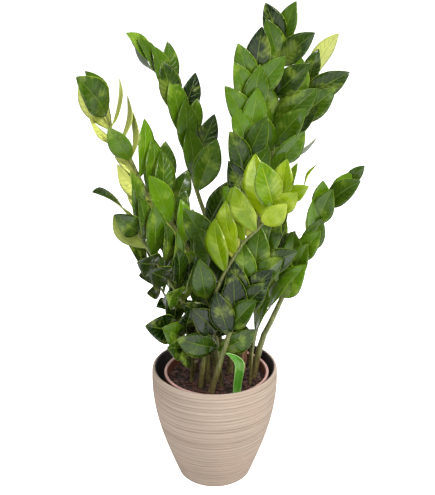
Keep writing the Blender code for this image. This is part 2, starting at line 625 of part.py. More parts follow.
def ribbon(name, points, widths, thickness, across, grow=0.0):
    """A strap-like leaf: a narrow grid laid along the points and thickened."""
    shape = bmesh.new()
    rows = len(points)
    bmesh.ops.create_grid(shape, x_segments=2, y_segments=rows - 1, size=1.0)
    across = Vector(across).normalized()
    for vert in shape.verts:
        row = round((vert.co.y + 1) / 2 * (rows - 1))
        sideways = vert.co.x
        point = placed(points[row])
        along = (placed(points[min(row + 1, rows - 1)]) - placed(points[max(row - 1, 0)])).normalized()
        cup = across.cross(along) * RIBBON_CUP * abs(sideways) * widths[row] / 1000
        foot = -along * grow if row == 0 else Vector((0, 0, 0))
        vert.co = point + foot + across * sideways * (widths[row] / 2000 + grow) + cup
    piece = mesh_object(name, shape)
    wall = piece.modifiers.new("thickness", 'SOLIDIFY')
    wall.thickness = thickness + 2 * grow
    wall.offset = 0.0
    return piece


def build_growths(moulds):
    """An unrolling strap leaf, a dry sheath and the stub of a cut stalk, with their sockets."""
    sockets = []
    for name, (points, widths, thickness, across, look) in RIBBONS.items():
        piece = finish(ribbon(name, points, widths, thickness, across), look)
        piece.data.shade_smooth()
        for mould in moulds:
            boolean(piece, mould, 'DIFFERENCE')
        sockets.append(hide_cutter(ribbon(f"{name}_socket", points, widths, thickness, across, FIT_GAP)))
    stub = [(placed(point), radius / 1000) for point, radius in STUB]
    piece = finish(tube("cut_stub", stub), STALK_SKIN)
    piece.data.shade_smooth()
    below = [(stub[0][0] - Vector((0, 0, FIT_GAP)), stub[0][1])] + stub[1:]
    sockets.append(hide_cutter(tube("cut_stub_socket", below, FIT_GAP)))
    for mould in moulds:
        boolean(piece, mould, 'DIFFERENCE')
    return sockets


def build_soil(sockets, moulds):
    """The root ball fills the nursery pot, with a socket for everything that stands in it."""
    floor = NURSERY_FOOT + NURSERY_WALL + FIT_GAP
    inset = NURSERY_WALL + FIT_GAP
    edge = nursery_radius(SOIL_LEVEL) - inset
    profile = [(0.0, SOIL_LEVEL + SOIL_CROWN), (edge * 0.6, SOIL_LEVEL + SOIL_CROWN * 0.7),
               (edge, SOIL_LEVEL), (nursery_radius(floor) - inset, floor), (0.0, floor)]
    soil = finish(turned("soil", profile, NURSERY_SIDES, (NURSERY_OFFSET, 0, 0)), POTTING_SOIL)
    for cutter in sockets + moulds:
        boolean(soil, cutter, 'DIFFERENCE')
    return soil


build_cachepot()
build_nursery_pot()
rhizome_moulds = build_rhizomes()
stalk_sockets = build_fronds(rhizome_moulds)
build_soil(stalk_sockets + build_growths(rhizome_moulds), rhizome_moulds)
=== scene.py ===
"""The looks of a potted ZZ plant (Zamioculcas): grooved stoneware, bark soil, stalks and waxed leaflets.

Units are metres, +Z is up, and the plant's open side looks along -Y.
"""
import math
import random

import bmesh
import bpy
from mathutils import Matrix, Vector, noise
from mathutils.bvhtree import BVHTree


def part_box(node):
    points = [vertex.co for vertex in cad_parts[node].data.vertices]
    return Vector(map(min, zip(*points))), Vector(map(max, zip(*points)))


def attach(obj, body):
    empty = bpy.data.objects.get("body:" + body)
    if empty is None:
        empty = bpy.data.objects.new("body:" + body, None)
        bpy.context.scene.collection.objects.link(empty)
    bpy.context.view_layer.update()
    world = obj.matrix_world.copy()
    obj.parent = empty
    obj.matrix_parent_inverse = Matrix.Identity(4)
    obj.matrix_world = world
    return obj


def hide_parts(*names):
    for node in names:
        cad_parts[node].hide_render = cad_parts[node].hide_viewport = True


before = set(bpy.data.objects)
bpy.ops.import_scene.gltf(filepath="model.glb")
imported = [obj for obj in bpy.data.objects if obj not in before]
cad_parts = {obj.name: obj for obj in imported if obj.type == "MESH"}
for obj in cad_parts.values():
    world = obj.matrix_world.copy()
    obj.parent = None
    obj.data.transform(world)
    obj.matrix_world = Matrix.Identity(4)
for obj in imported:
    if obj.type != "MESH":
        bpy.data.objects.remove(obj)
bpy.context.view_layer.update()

bpy.ops.object.select_all(action='DESELECT')


# ---- Studio -----------------------------------------------------------------
# A flat floor of white paper, a soft lamp high on the right, weaker ones in front, on the left
# and overhead, and a bright even surround, as a plant is lit for a catalogue.
CAMERA_SPOT = (0.0047, -1.450, 0.953)
CAMERA_PITCH = math.radians(69.1)
LENS_MM = 72.7
SENSOR_MM = 36
LAMPS_AIM_AT = Vector((0, 0, 0.4))

bpy.ops.object.camera_add(location=CAMERA_SPOT, rotation=(CAMERA_PITCH, 0, 0))
camera = bpy.context.object
camera.data.lens = LENS_MM
camera.data.sensor_width = SENSOR_MM
bpy.context.scene.camera = camera


class Field:
    """A value that varies over a surface; Python's operators on it add Math nodes."""

    def __init__(self, tree, socket):
        self.tree, self.socket = tree, socket

    def math(self, operation, *values):
        node = self.tree.nodes.new('ShaderNodeMath')
        node.operation = operation
        for slot, value in zip(node.inputs, values):
            if isinstance(value, Field):
                self.tree.links.new(value.socket, slot)
            else:
                slot.default_value = value
        return Field(self.tree, node.outputs[0])

    def __add__(self, other):
        return self.math('ADD', self, other)

    def __radd__(self, other):
        return self.math('ADD', other, self)

    def __sub__(self, other):
        return self.math('SUBTRACT', self, other)

    def __rsub__(self, other):
        return self.math('SUBTRACT', other, self)

    def __mul__(self, other):
        return self.math('MULTIPLY', self, other)

    def __rmul__(self, other):
        return self.math('MULTIPLY', other, self)

    def __abs__(self):
        return self.math('ABSOLUTE', self)

    def sine(self):
        return self.math('SINE', self)

    def ramp(self, low, high):
        """0 below low, 1 above high and smooth between."""
        node = self.tree.nodes.new('ShaderNodeMapRange')
        node.interpolation_type = 'SMOOTHSTEP'
        self.tree.links.new(self.socket, node.inputs["Value"])
        node.inputs["From Min"].default_value = low
        node.inputs["From Max"].default_value = high
        return Field(self.tree, node.outputs[0])


def socket_name(word):
    """base_color names the socket Base Color."""
    return word.replace("_", " ").title().replace("Ior", "IOR")


class Finish:
    """A material round one Principled shader."""

    def __init__(self, name, **constants):
        self.material = bpy.data.materials.new(name)
        self.material.use_nodes = True
        self.tree = self.material.node_tree
        self.shader = self.tree.nodes["Principled BSDF"]
        for socket, value in constants.items():
            self.shader.inputs[socket_name(socket)].default_value = value

    def node(self, kind, settings=None, sockets=None, output=0):
        """Any node, with its settings and then its sockets, as one of its outputs."""
        made = self.tree.nodes.new(kind)
        for name, value in (settings or {}).items():
            setattr(made, name, value)
        for name, value in (sockets or {}).items():
            if isinstance(value, Field):
                self.tree.links.new(value.socket, made.inputs[name])
            else:
                made.inputs[name].default_value = value
        return Field(self.tree, made.outputs[output])

    def place(self):
        return self.node('ShaderNodeTexCoord', output="Object")

    def stretched(self, scale):
        return self.node('ShaderNodeMapping', None, {"Vector": self.place(), "Scale": scale})

    def noise(self, scale, detail=3.0, roughness=0.55, vector=None):
        return self.node('ShaderNodeTexNoise', None,
                         {"Vector": vector or self.place(), "Scale": scale, "Detail": detail,
                          "Roughness": roughness}, "Fac")

    def mix(self, share, first, second):
        """From the first colour to the second."""
        return self.node('ShaderNodeMix', {"data_type": 'RGBA'},
                         {0: share, 6: first, 7: second}, 2)

    def put(self, **fields):
        for socket, field in fields.items():
            self.tree.links.new(field.socket, self.shader.inputs[socket_name(socket)])

    def bump(self, height, distance, strength=1.0):
        self.put(normal=self.node('ShaderNodeBump', None,
                                  {"Height": height, "Distance": distance, "Strength": strength}))


def colour(red, green, blue):
    """A colour given from 0 to 255, as the linear light that a shader takes."""
    return tuple(((value / 255 + 0.055) / 1.055) ** 2.4 if value > 10 else value / 255 / 12.92
                 for value in (red, green, blue)) + (1.0,)


def settle(piece, finish, slot, *nodes):
    """Give a finished piece its material and its body, and hide the CAD nodes that it stands for."""
    bpy.ops.object.select_all(action='DESELECT')
    piece.data.materials.clear()
    piece.data.materials.append(finish.material)
    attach(piece, "root")
    if nodes:
        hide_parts(*nodes)


bpy.ops.mesh.primitive_plane_add(size=12, location=(0, 2.0, 0))
floor = bpy.context.object
floor.name = "paper_floor"
paper = Finish("white paper", roughness=0.9)
grain = paper.noise(40.0)
paper.shader.inputs["Emission Color"].default_value = (1.0, 1.0, 1.0, 1.0)
seen = paper.node('ShaderNodeLightPath', output="Is Camera Ray")
paper.put(emission_strength=seen * 1.2,
          base_color=paper.mix(grain.ramp(0.2, 0.8), colour(246, 246, 246), colour(252, 252, 252)))
floor.data.materials.append(paper.material)

for name, spot, size, power, tint in (
        ("key_lamp", (1.6, -1.2, 2.2), 0.7, 66, (1.0, 0.98, 0.95)),
        ("front_lamp", (-0.3, -2.3, 2.3), 0.5, 30, (1.0, 1.0, 1.0)),
        ("fill_lamp", (-1.8, -1.2, 1.5), 1.2, 16, (0.95, 0.98, 1.0)),
        ("top_lamp", (0.3, 0.6, 2.4), 0.9, 32, (1.0, 1.0, 1.0))):
    bpy.ops.object.light_add(type='AREA', location=spot)
    lamp = bpy.context.object
    lamp.name = name
    lamp.data.size = size
    lamp.data.energy = power
    lamp.data.color = tint
    lamp.rotation_euler = (LAMPS_AIM_AT - Vector(spot)).to_track_quat('-Z', 'Y').to_euler()

surround = bpy.data.worlds.new("bright surround")
surround.use_nodes = True
sky = surround.node_tree.nodes["Background"]
sky.inputs["Color"].default_value = (1.0, 1.0, 1.0, 1.0)
light_path = surround.node_tree.nodes.new('ShaderNodeLightPath')
straight = Field(surround.node_tree, light_path.outputs["Is Camera Ray"])
surround.node_tree.links.new((0.25 + straight).socket, sky.inputs["Strength"])
bpy.context.scene.world = surround
bpy.context.scene.view_settings.view_transform = 'Standard'


# ---- Cachepot ---------------------------------------------------------------
# Taupe stoneware, thrown on a wheel and left matte. The thrower's ribs stay as uneven shallow grooves round
# the outside; the inside of the wall is coloured dark grey.
POT_LOW, POT_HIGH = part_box("cachepot")
POT_HEIGHT = POT_HIGH.z
POT_BASE_RADIUS = 0.058
POT_SWELL = 0.044
POT_SWEEP = math.radians(100)
POT_WALL = 0.0065
POT_FLOOR = 0.008
GROOVE_PITCH = 0.0056
GROOVE_DEPTH = 0.0009


def turned(name, profile, steps, centre=(0, 0)):
    """Spin a profile of (radius, height), which starts and ends on the axis, about that axis."""
    bpy.ops.mesh.primitive_circle_add(vertices=len(profile), radius=1.0)
    piece = bpy.context.object
    piece.name = name
    for vert, (radius, height) in zip(piece.data.vertices, profile):
        vert.co = (radius, 0.0, height)
    bpy.ops.object.mode_set(mode='EDIT')
    bpy.ops.mesh.select_mode(type='EDGE')
    bpy.ops.mesh.select_all(action='DESELECT')
    shape = bmesh.from_edit_mesh(piece.data)
    for edge in shape.edges:
        edge.select_set(all(vert.co.x < 1e-9 for vert in edge.verts))
    bmesh.update_edit_mesh(piece.data)
    bpy.ops.mesh.delete(type='EDGE')
    bpy.ops.mesh.select_all(action='SELECT')
    bpy.ops.mesh.spin(steps=steps, angle=math.tau, center=(0, 0, 0), axis=(0, 0, 1))
    bpy.ops.mesh.select_all(action='SELECT')
    bpy.ops.mesh.remove_doubles(threshold=0.00001)
    bpy.ops.mesh.normals_make_consistent(inside=False)
    bpy.ops.transform.translate(value=(*centre, 0))
    bpy.ops.object.mode_set(mode='OBJECT')
    bpy.ops.object.shade_smooth()
    return piece


def pot_radius(height):
    """The swelling wall that leans in a little at the rim."""
    return POT_BASE_RADIUS + POT_SWELL * math.sin(POT_SWEEP * height / POT_HEIGHT)


def groove(height):
    """How far the ribs sink at a height: uneven in pitch and depth."""
    uneven = noise.noise(Vector((0.0, 0.0, height * 60))) * 1.6
    depth = 0.65 + 0.7 * noise.noise(Vector((5.0, 0.0, height * 90)))
    wave = math.sin(math.tau * height / GROOVE_PITCH + uneven)
    fade = min(1.0, (POT_HEIGHT - height) / 0.006) * min(1.0, height / 0.012)
    return GROOVE_DEPTH * depth * (0.5 + 0.5 * wave) ** 3 * max(fade, 0.0)


rim = POT_WALL / 2
heights = [0.004 + (POT_HEIGHT - rim - 0.004) * step / 220 for step in range(221)]
profile = [(0.0, 0.0), (0.020, 0.0), (0.0535, 0.0), (0.0565, 0.0008), (0.0582, 0.0024)]
profile += [(pot_radius(height) - groove(height), height) for height in heights]
rim_radius = pot_radius(POT_HEIGHT)
profile += [(rim_radius - rim + rim * math.cos(math.radians(turn)) - 0.0001,
             POT_HEIGHT - rim + rim * math.sin(math.radians(turn)) * 0.98) for turn in range(20, 180, 20)]
heights = [POT_HEIGHT - rim - (POT_HEIGHT - rim - POT_FLOOR - 0.003) * step / 40 for step in range(41)]
profile += [(pot_radius(height) - POT_WALL, height) for height in heights]
profile += [(pot_radius(POT_FLOOR) - POT_WALL - 0.004, POT_FLOOR), (0.020, POT_FLOOR), (0.0, POT_FLOOR)]
cachepot = turned("thrown_cachepot", profile, 144)
for vert in cachepot.data.vertices:
    angle = math.atan2(vert.co.y, vert.co.x)
    sway = 1 - 0.0022 * (0.5 + 0.5 * noise.noise(Vector((math.cos(angle), math.sin(angle), vert.co.z * 30))))
    if 0.003 < vert.co.z < POT_HEIGHT - 0.001:
        vert.co.x *= sway
        vert.co.y *= sway

# How deep the grooves sink at each point, which the stoneware uses for painted shade in their hollows.
sunk = cachepot.data.attributes.new("groove", 'FLOAT', 'POINT')
for index, vert in enumerate(cachepot.data.vertices):
    outside = math.hypot(vert.co.x, vert.co.y) > pot_radius(vert.co.z) - POT_WALL / 2
    sunk.data[index].value = groove(vert.co.z) / GROOVE_DEPTH if outside else 0.0

clay = Finish("taupe stoneware", roughness=0.8, specular_ior_level=0.35)
spot = clay.place()
depth = clay.node('ShaderNodeSeparateXYZ', None, {"Vector": spot}, "Z")
from_axis = clay.node('ShaderNodeVectorMath', {"operation": 'LENGTH'},
                      {0: clay.stretched((1.0, 1.0, 0.0))}, "Value")
wall = POT_BASE_RADIUS + POT_SWELL * (POT_SWEEP / POT_HEIGHT * depth).sine()
inner = (wall - from_axis).ramp(0.0035, 0.0050)
bands = clay.noise(1.0, 4.0, 0.6, clay.stretched((5.0, 5.0, 330.0)))
painted_groove_shade = clay.node('ShaderNodeAttribute', {"attribute_name": "groove"}, None, "Fac")
clouds = clay.noise(16.0, 3.0)
specks = clay.noise(900.0, 2.0, 0.7)
body = clay.mix(bands.ramp(0.3, 0.7), colour(155, 139, 124), colour(184, 167, 152))
body = clay.mix(clouds.ramp(0.35, 0.75) * 0.5, body, colour(178, 155, 141))
body = clay.mix(specks.ramp(0.62, 0.80) * 0.35, body, colour(124, 106, 88))
# Painted shade: the outside is darkened in the groove hollows, the more the deeper they sink.
body = clay.mix(painted_groove_shade * 0.5, body, colour(116, 100, 86))
body = clay.mix(inner, body, clay.mix(clouds, colour(42, 40, 40), colour(70, 66, 64)))
clay.put(base_color=body, roughness=0.72 + 0.2 * specks)
clay.bump(bands * 0.7 + specks * 0.3, 0.0006, 0.8)
settle(cachepot, clay, "stoneware", "cachepot")


# ---- Nursery pot ------------------------------------------------------------
# A thin injection-moulded pot in brown plastic, with a rolled lip and drain holes in its floor.
# Its foot is wedged in the taper of the cachepot, pushed a little to the right.
NEST_LOW, NEST_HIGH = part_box("nursery_pot")
NEST_CENTRE = ((NEST_LOW.x + NEST_HIGH.x) / 2, (NEST_LOW.y + NEST_HIGH.y) / 2)
NEST_WALL = 0.0015
LIP_RADIUS = (NEST_HIGH.x - NEST_LOW.x) / 2
LIP_DEPTH = 0.010
CONE_TOP, CONE_FOOT = 0.081, 0.0614
DRAIN_HOLES = 6
DRAIN_HOLE_RADIUS = 0.0045
DRAIN_CIRCLE_RADIUS = 0.040
foot, top = NEST_LOW.z, NEST_HIGH.z


def cone_radius(height):
    return CONE_FOOT + (CONE_TOP - CONE_FOOT) * (height - foot) / (top - foot)


profile = [(0.0, foot), (0.030, foot), (CONE_FOOT - 0.001, foot), (CONE_FOOT, foot + 0.001)]
heights = [foot + 0.002 + (top - LIP_DEPTH - foot - 0.004) * step / 24 for step in range(25)]
profile += [(cone_radius(height), height) for height in heights]
profile += [(LIP_RADIUS - 0.0004, top - LIP_DEPTH), (LIP_RADIUS, top - LIP_DEPTH + 0.0005),
            (LIP_RADIUS, top - 0.0014), (LIP_RADIUS - 0.0004, top - 0.0004), (LIP_RADIUS - 0.0014, top),
            (LIP_RADIUS - 0.0034, top), (LIP_RADIUS - 0.0044, top - 0.0006),
            (LIP_RADIUS - 0.0050, top - 0.003), (cone_radius(top - LIP_DEPTH) - NEST_WALL, top - LIP_DEPTH),
            (cone_radius(foot + NEST_WALL) - NEST_WALL, foot + NEST_WALL), (0.0, foot + NEST_WALL)]
nest = turned("nursery_pot_shell", profile, 96, NEST_CENTRE)
for hole in range(DRAIN_HOLES):
    turn = math.tau * hole / DRAIN_HOLES
    bpy.ops.mesh.primitive_cylinder_add(
        vertices=20, radius=DRAIN_HOLE_RADIUS, depth=NEST_WALL * 4,
        location=(NEST_CENTRE[0] + DRAIN_CIRCLE_RADIUS * math.cos(turn),
                  DRAIN_CIRCLE_RADIUS * math.sin(turn), foot + NEST_WALL / 2))
    drill = bpy.context.object
    cut = nest.modifiers.new("drain hole", 'BOOLEAN')
    cut.object = drill
    bpy.context.view_layer.objects.active = nest
    bpy.ops.object.modifier_apply(modifier=cut.name)
    bpy.data.objects.remove(drill, do_unlink=True)

plastic = Finish("brown pot plastic", roughness=0.5)
scuffs = plastic.noise(120.0, 4.0, 0.6)
height = plastic.node('ShaderNodeSeparateXYZ', None, {"Vector": plastic.place()}, "Z")
# Painted highlight: a pale pink band round the top of the rolled lip, where the light catches it.
lip_highlight = height.ramp(top - 0.0030, top - 0.0008)
shell = plastic.mix(scuffs, colour(88, 46, 36), colour(128, 72, 56))
shell = plastic.mix(lip_highlight * 0.8, shell, plastic.mix(scuffs, colour(196, 150, 140), colour(226, 190, 182)))
plastic.put(base_color=shell, roughness=0.36 + 0.25 * scuffs)
plastic.bump(scuffs, 0.0002, 0.5)
settle(nest, plastic, "pot_plastic", "nursery_pot")


# ---- Stalks -----------------------------------------------------------------
# Each frond rises from a rhizome on a smooth fleshy stalk, swollen and brown at its foot, and
# carries two rows of leaflets on its upper part.
PLANT_HEIGHT = 0.770
SOIL_BELOW_RIM = 0.012
SURVEYED_SOIL = 175
SURVEYED_HEIGHT_ABOVE_SOIL = 0.595
SOIL_LEVEL = top - SOIL_BELOW_RIM
PLANT_SIZE = (PLANT_HEIGHT - SOIL_LEVEL) / SURVEYED_HEIGHT_ABOVE_SOIL
SPREADING_HEIGHT = 0.100
STALK_SAMPLES = 12
STALK_STEP = 0.026
FOOT_SWELL = 0.25
FOOT_SWELL_PERCENT = 12

# Each frond: the points that its stalk runs through (mm, from the soil up), the way the upper
# face of the blade looks, stalk radius at foot and tip (mm), where the leaflets begin (percent of
# the stalk), leaflet width over length, and two rows of leaflets. A leaflet: (percent of the
# stalk, spread from the stalk, length in mm, lift of the row and, where it has one, its twist).
# Angles are in degrees.
FRONDS = {
    "left_arching": dict(
        stalk=[(12, 40, 150), (0, 30, 300), (-35, 20, 375), (-65, 20, 430), (-100, 10, 480),
               (-125, 10, 535), (-145, 5, 565), (-160, 0, 610)],
        faces=(0.8, -0.5, 0.35), radii=(5.5, 1.6), bare=34, plump=0.45,
        left=[(40, 20, 72, 20, 50), (48, 12, 76, 15, -150), (56, 6, 78, 15, -150),
              (63, 4, 80, 15, -145), (70, 4, 80, 15, -150), (77, 6, 78, 15, -145),
              (84, 12, 66, 20, 75), (90, 14, 66, 15, 165), (95, 28, 84, 10, -140),
              (100, 34, 100, 5, 20)],
        right=[(44, 30, 78, 20), (52, 22, 66, 20), (60, 6, 84, 20), (66, 46, 84, 10), (72, 44, 82, 15),
               (78, 34, 84, 20), (84, 26, 72, 20, 75), (90, 30, 70, 20, 70), (96, 20, 70, 15, 70),
               (100, -18, 78, 5)]),
    "tall_left": dict(
        stalk=[(-10, 48, 150), (0, 60, 265), (-5, 65, 350), (-10, 70, 410), (-25, 80, 455),
               (-40, 85, 505), (-65, 90, 590), (-80, 90, 630), (-95, 85, 670)],
        faces=(0.2, -0.9, 0.35), radii=(6.0, 1.8), bare=46, plump=0.46,
        left=[(64, -6, 78, 20), (72, -4, 78, 15), (79, -4, 78, 20), (85, -2, 76, 15), (91, 0, 72, 20),
              (96, 14, 70, 20), (100, 16, 68, 30)],
        right=[(49, 41, 80, 15), (60, 38, 86, 15), (68, 31, 86, 10), (75, 28, 84, 20),
               (81, 26, 80, 10), (86, 28, 74, 20), (90, 22, 76, 10), (94, 24, 66, 20),
               (97, 14, 60, 15), (100, -2, 62, 20)]),
    "tall_right": dict(
        stalk=[(40, 32, 150), (50, 55, 285), (75, 80, 415), (90, 90, 515), (90, 95, 595),
               (95, 100, 640), (105, 105, 690)],
        faces=(-0.15, -0.9, 0.35), radii=(6.0, 2.0), bare=50, plump=0.45,
        left=[(55, 32, 76, 20), (62, 36, 78, 20), (70, 30, 78, 20), (78, 24, 68, 50), (86, 34, 70, 50),
              (95, 32, 74, 30), (100, 36, 72, 20)],
        right=[(58, 22, 78, 20), (66, 28, 80, 20, 70), (72, 42, 82, 10), (78, 50, 88, 10),
               (86, 44, 80, 15), (95, 44, 80, 20), (100, 10, 70, 20)]),
    "centre": dict(
        stalk=[(24, 14, 150), (32, 25, 300), (40, 32, 400), (46, 36, 480), (50, 40, 540),
               (52, 44, 610), (60, 46, 650)],
        faces=(0.1, -0.9, 0.35), radii=(5.5, 1.8), bare=52, plump=0.43,
        left=[(56, 35, 75, 20), (63, 30, 75, 20), (71, 30, 80, 20), (79, 25, 75, 20),
              (86, 28, 78, 20), (92, 30, 75, 20), (97, 32, 75, 20), (100, 20, 80, 20)],
        right=[(59, 30, 75, 20), (67, 20, 78, 20), (75, 14, 78, 20), (82, 12, 80, 20),
               (89, 14, 80, 20), (95, 10, 78, 20)]),
    "back_right": dict(
        stalk=[(28, 55, 150), (36, 66, 205), (60, 95, 285), (80, 130, 435), (110, 140, 515),
               (140, 150, 605), (155, 150, 630)],
        faces=(-0.4, -0.7, 0.6), radii=(5.0, 1.8), bare=54, plump=0.45,
        left=[(58, 24, 72, 20), (68, 14, 74, 20), (76, 16, 72, 20), (84, 16, 72, 20), (92, 16, 70, 20),
              (98, 15, 58, 20)],
        right=[(62, 34, 76, 20), (72, 24, 74, 15, 70), (80, 34, 80, 15), (85, 32, 86, 10),
               (94, 36, 82, 10, 30), (100, 16, 80, 5, -75)]),
    "young": dict(
        stalk=[(-24, -30, 150), (-14, -44, 255), (5, -56, 355), (40, -70, 430), (60, -80, 455),
               (90, -90, 495), (110, -95, 515), (130, -100, 530)],
        faces=(-0.8, -0.5, 0.35), radii=(4.5, 1.6), bare=52, plump=0.52,
        left=[(56, 38, 76, 20), (64, 46, 74, 15), (70, 56, 76, 5), (76, 72, 68, 30), (82, 56, 88, 12),
              (86, 60, 72, 40), (90, 42, 60, 20), (94, 34, 46, 15, 30), (99, 20, 38, 10, 50)],
        right=[(62, 50, 60, 110), (72, 60, 62, 115), (81, 60, 52, 115), (88, 58, 48, 110),
               (80, 12, 58, 20, 70), (86, 10, 54, 20, 70), (92, 8, 42, 20, 70)]),
    "right_arching": dict(
        stalk=[(58, 0, 150), (75, -5, 240), (90, -10, 280), (105, -15, 320), (130, -20, 385),
               (150, -25, 430), (160, -30, 470), (180, -35, 495), (195, -40, 515)],
        faces=(-0.5, -0.75, 0.4), radii=(6.0, 1.8), bare=44, plump=0.46,
        left=[(48, 24, 74, 30), (57, 20, 70, 35), (66, 18, 68, 40), (75, 18, 66, 40), (84, 16, 58, 35),
              (92, 10, 50, 20)],
        right=[(46, 22, 80, 30), (54, 14, 74, 30), (63, 12, 74, 30), (72, 14, 74, 30),
               (80, 16, 70, 30, 10), (88, 14, 72, 10, 10), (96, 16, 46, 30, 30), (100, 12, 40, 20, 60)]),
    "front_right": dict(
        stalk=[(-12, -50, 150), (10, -50, 230), (20, -55, 270), (30, -55, 300), (50, -50, 350),
               (70, -45, 385), (85, -40, 420)],
        faces=(-0.3, -0.9, 0.3), radii=(5.5, 1.8), bare=46, plump=0.47,
        left=[(46, 34, 74, 20), (55, 30, 76, 20), (63, 28, 78, 20), (71, 26, 78, 25), (80, 22, 78, 20),
              (92, 10, 76, 20)],
        right=[(50, 26, 72, 30), (59, 26, 72, 30), (67, 24, 70, 30), (75, 22, 70, 30),
               (85, 20, 68, 25), (97, 10, 66, 20)]),
    "front_left": dict(
        stalk=[(-8, -18, 150), (-14, -26, 235), (-30, -38, 285), (-50, -55, 335),
               (-70, -65, 375), (-85, -75, 405), (-105, -85, 445), (-120, -90, 475)],
        faces=(0.5, -0.6, 0.6), radii=(5.0, 1.8), bare=50, plump=0.49,
        left=[(57, 36, 72, 20, 40), (68, 32, 74, 20, 45), (78, 40, 72, 15, 40), (86, 16, 72, 20, -140),
              (94, 26, 62, 15, 40), (100, 42, 92, 5, -25)],
        right=[(54, 30, 78, 25), (60, 26, 74, 25), (66, 28, 76, 25), (72, 28, 76, 20),
               (81, 26, 76, 25), (89, 20, 70, 30), (97, 24, 78, 10)]),
    "inner": dict(
        stalk=[(4, -4, 150), (-5, 0, 275), (0, 3, 325), (-5, 5, 375), (-10, 5, 410)],
        faces=(0.0, -1.0, 0.3), radii=(4.5, 1.8), bare=46, plump=0.47,
        left=[(46, 44, 72, 20), (56, 38, 75, 20), (68, 38, 76, 20), (82, 32, 78, 20), (95, 24, 82, 20)],
        right=[(50, 40, 72, 20), (62, 36, 72, 20), (74, 34, 70, 20), (86, 36, 64, 20),
               (98, 34, 54, 20)]),
    "low_side": dict(
        stalk=[(-34, 6, 150), (-40, 5, 245), (-60, 0, 280), (-70, -5, 300), (-85, -10, 340),
               (-105, -15, 365)],
        faces=(0.3, -0.3, 0.9), radii=(3.5, 1.2), bare=52, plump=0.38,
        left=[(52, 56, 60, 0, 20), (60, 58, 62, 0, 20), (68, 60, 64, 0, -30), (77, 60, 66, 0, 20),
              (86, 60, 68, 0, 20), (94, 50, 72, 10, 20)],
        right=[(56, 34, 62, 15), (64, 34, 66, 15), (72, 30, 68, 15), (80, 26, 70, 15),
               (90, 22, 72, 20), (100, 10, 76, 15)]),
    "low_left": dict(
        stalk=[(-38, -16, 150), (-36, -22, 215), (-40, -28, 240), (-52, -34, 265),
               (-65, -40, 290)],
        faces=(0.3, -0.6, 0.7), radii=(3.5, 1.4), bare=50, plump=0.52,
        left=[(52, 48, 62, 15), (64, 46, 70, 15), (76, 42, 76, 15), (88, 38, 80, 20)],
        right=[(58, 40, 60, 25), (70, 34, 64, 20), (82, 26, 66, 20), (98, 10, 70, 20)]),
    "low_front": dict(
        stalk=[(14, -34, 150), (4, -33, 250), (0, -38, 285), (-5, -42, 315), (-15, -45, 335)],
        faces=(0.0, -0.7, 0.7), radii=(4.0, 1.6), bare=42, plump=0.49,
        left=[(50, 58, 78, 15), (66, 40, 78, 15), (84, 36, 76, 20)],
        right=[(46, 58, 70, 15), (60, 40, 78, 20), (76, 28, 78, 20), (98, 16, 72, 20)]),
    "low_right": dict(
        stalk=[(56, -20, 150), (60, -24, 235), (62, -26, 262), (72, -28, 290), (86, -30, 312)],
        faces=(-0.4, -0.5, 0.8), radii=(3.0, 1.2), bare=56, plump=0.40,
        left=[(64, 50, 64, 20), (88, 30, 66, 20)],
        right=[(72, 18, 78, 10), (98, 14, 72, 10)]),
    "back_left": dict(
        stalk=[(-32, 36, 150), (-48, 70, 265), (-62, 105, 350), (-75, 130, 410),
               (-82, 140, 450)],
        faces=(0.3, -0.8, 0.6), radii=(5.0, 1.6), bare=46, plump=0.45,
        left=[(42, 40, 74, 20), (52, 40, 76, 20), (62, 36, 78, 20), (72, 34, 78, 20), (82, 28, 76, 20),
              (92, 24, 76, 20)],
        right=[(46, 38, 74, 20), (57, 36, 76, 20), (67, 32, 78, 20), (77, 28, 76, 20),
               (87, 24, 74, 20), (100, 10, 76, 20)]),
    "back_middle": dict(
        stalk=[(56, 30, 150), (62, 42, 205), (78, 74, 262), (94, 108, 320), (104, 130, 375)],
        faces=(-0.4, -0.7, 0.6), radii=(4.5, 1.6), bare=46, plump=0.47,
        left=[(50, 40, 74, 20), (60, 38, 76, 20), (70, 36, 78, 20), (80, 30, 76, 20), (90, 24, 74, 20)],
        right=[(55, 38, 76, 20), (65, 36, 76, 20), (75, 32, 78, 20), (86, 26, 74, 20),
                     (98, 12, 74, 20)]),
}


def placed(point):
    """A surveyed point (mm) in the plant: feet keep to the pot, the rest grows with the plant."""
    above_soil = (point[2] - SURVEYED_SOIL) / 1000
    freedom = min(max(above_soil / SPREADING_HEIGHT, 0.0), 1.0)
    reach = 1.0 + (PLANT_SIZE - 1.0) * freedom
    rise = above_soil * PLANT_SIZE if above_soil > 0 else above_soil
    return Vector((point[0] / 1000 * reach, point[1] / 1000 * reach, SOIL_LEVEL + rise))


